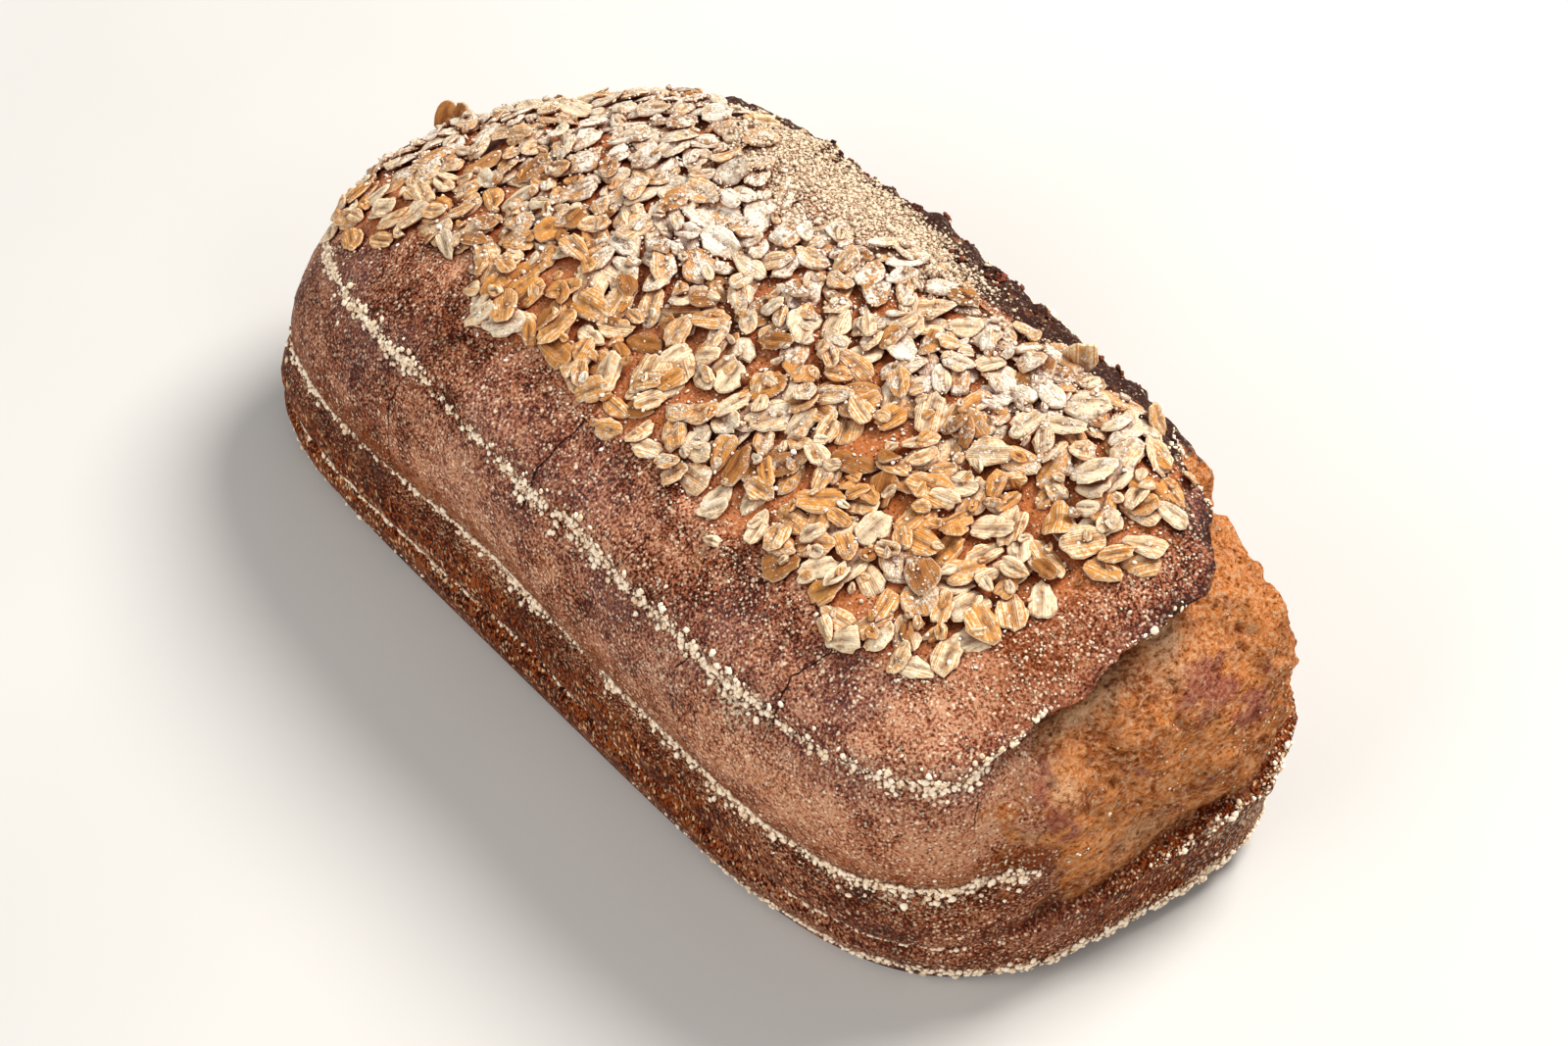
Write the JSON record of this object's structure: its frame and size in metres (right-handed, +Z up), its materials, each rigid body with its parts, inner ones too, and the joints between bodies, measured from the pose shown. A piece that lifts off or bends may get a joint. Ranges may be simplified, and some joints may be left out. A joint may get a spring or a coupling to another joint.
{
  "type": "sourdough loaf",
  "caption": "Long oat-topped rye sourdough loaf with ring-marked sides and a torn, crumb-baring end, resting on its flat base.",
  "frame": {"origin": "middle of the loaf's box, on the surface that it stands on", "axes": "+X along the loaf towards its torn end, +Y across it towards the side the picture doesn't show, +Z up"},
  "size_m": [0.2786, 0.1334, 0.1027],
  "materials": {
    "crust": "matt baked rye crust, reddish brown with tan specks, torn open to orange-brown crumb at one end, with pale flour along its rings and toasted oat flakes on top"
  },
  "bodies": {
    "root": {"loaf": "crust"}
  },
  "joints": []
}
